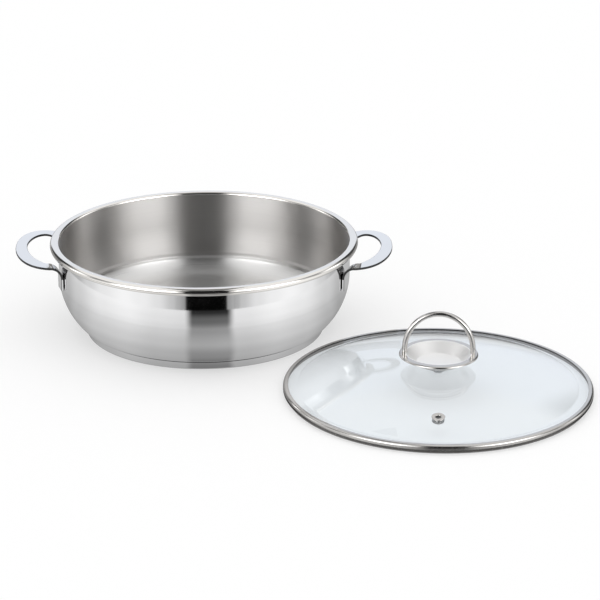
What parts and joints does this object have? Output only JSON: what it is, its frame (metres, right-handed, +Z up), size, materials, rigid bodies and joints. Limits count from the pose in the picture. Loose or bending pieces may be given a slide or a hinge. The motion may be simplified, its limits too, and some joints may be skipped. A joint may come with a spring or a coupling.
{
  "type": "stew pot",
  "caption": "Low wide steel stew pot with a rolled pouring rim, strip bow handles and a capped base, its domed glass lid with a dish and bow knob lying beside it.",
  "frame": {"origin": "centre of the flat underside of the pot's base", "axes": "+Z up out of the pot's mouth, X through the two side handles, -Y towards the viewer"},
  "size_m": [0.5467, 0.4622, 0.0924],
  "materials": {
    "shell_steel": "stainless sheet, mirror polished outside, brushed inside with a satin floor",
    "polished_steel": "mirror polished stainless steel",
    "satin_steel": "plain satin stainless steel",
    "core_aluminium": "plain aluminium disc",
    "lid_glass": "clear tempered glass, faintly blue grey",
    "clear_silicone": "translucent matte silicone"
  },
  "bodies": {
    "pot": {"pot_shell": "shell_steel", "base_core": "core_aluminium", "base_cap": "polished_steel", "handle_right": "polished_steel", "handle_left": "polished_steel"},
    "lid": {"lid_glass": "lid_glass", "lid_band": "polished_steel", "vent_eyelet": "polished_steel", "vent_washer": "satin_steel", "knob_gasket": "clear_silicone", "knob_dish": "polished_steel", "knob_bow": "polished_steel", "knob_nut": "satin_steel", "underside_gasket": "clear_silicone", "knob_washer": "satin_steel", "knob_screw": "satin_steel"}
  },
  "joints": [
    {"name": "lid_lift", "type": "slide", "parent": "pot", "child": "lid", "axis": [0.3351, -0.2575, 0.9063], "range_m": [0, 0.25]}
  ]
}
